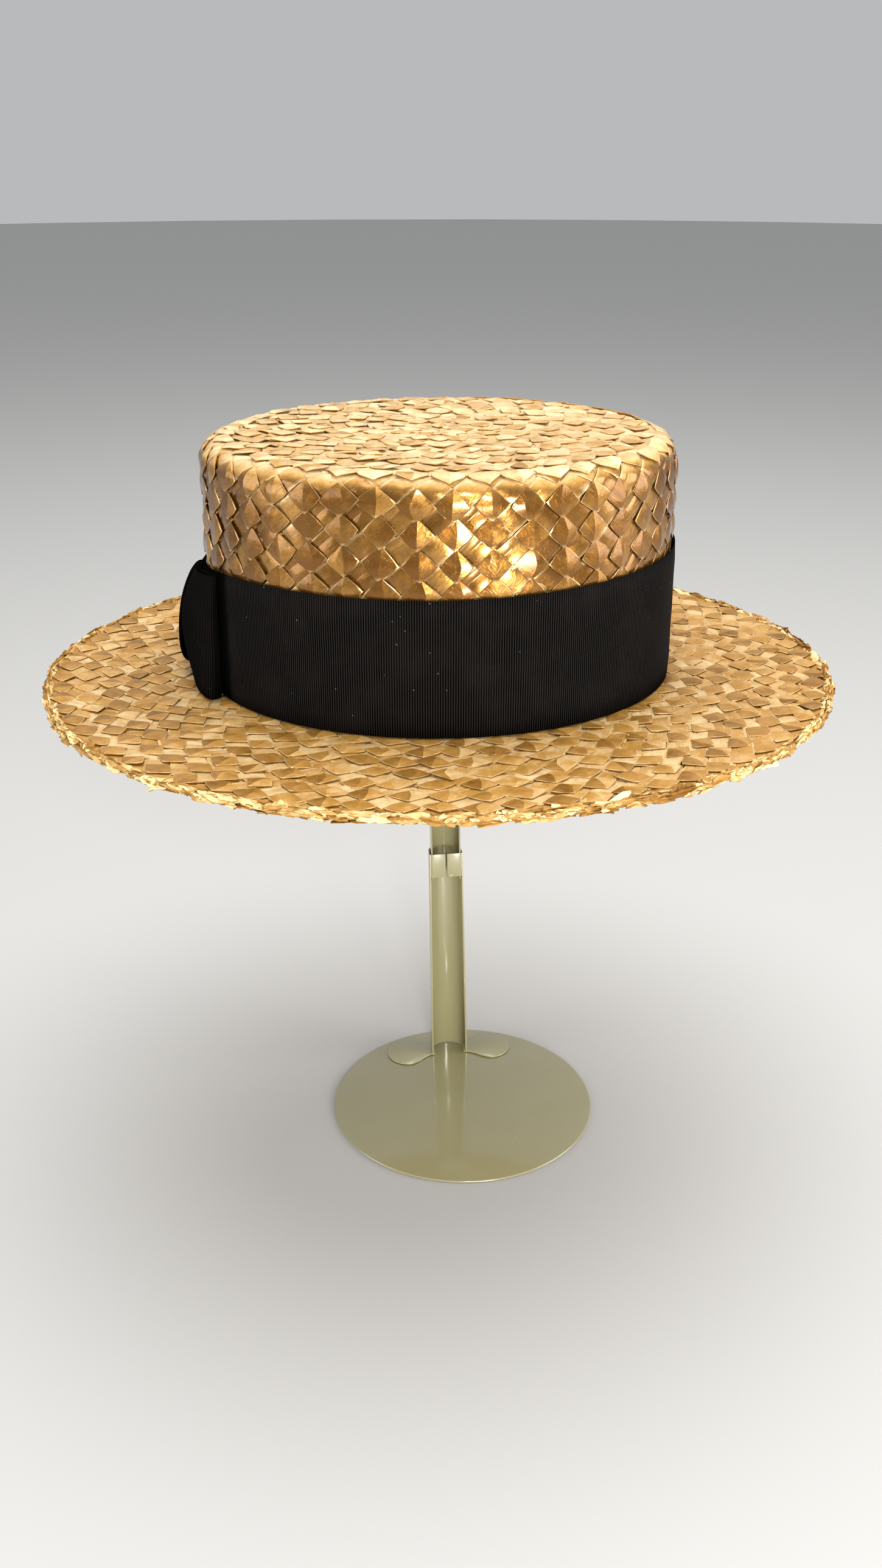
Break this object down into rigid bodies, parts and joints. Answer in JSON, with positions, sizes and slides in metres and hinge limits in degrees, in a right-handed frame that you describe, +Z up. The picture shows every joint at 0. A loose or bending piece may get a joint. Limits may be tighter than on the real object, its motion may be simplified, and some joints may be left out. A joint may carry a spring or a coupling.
{
  "type": "straw boater hat on a display stand",
  "caption": "Oval straw boater with a flat tip, level plaited brim, black grosgrain band and side bow, resting on a sheet-metal hat stand with a round base.",
  "frame": {"origin": "on the surface that the stand rests on, straight below the middle of the hat", "axes": "+Z up; X along the hat's long axis, with the bow at the -X end; the stand's open post faces -Y"},
  "size_m": [0.334, 0.312, 0.326],
  "materials": {
    "straw": "satin",
    "grosgrain": "matte",
    "stand_paint": "satin"
  },
  "bodies": {
    "root": {"crown": "straw", "brim": "straw", "hat_band": "grosgrain", "bow_loop_front": "grosgrain", "bow_loop_rear": "grosgrain", "bow_knot": "grosgrain", "stand_base": "stand_paint", "stand_post": "stand_paint", "stand_slide": "stand_paint", "stand_head": "stand_paint"}
  },
  "joints": []
}
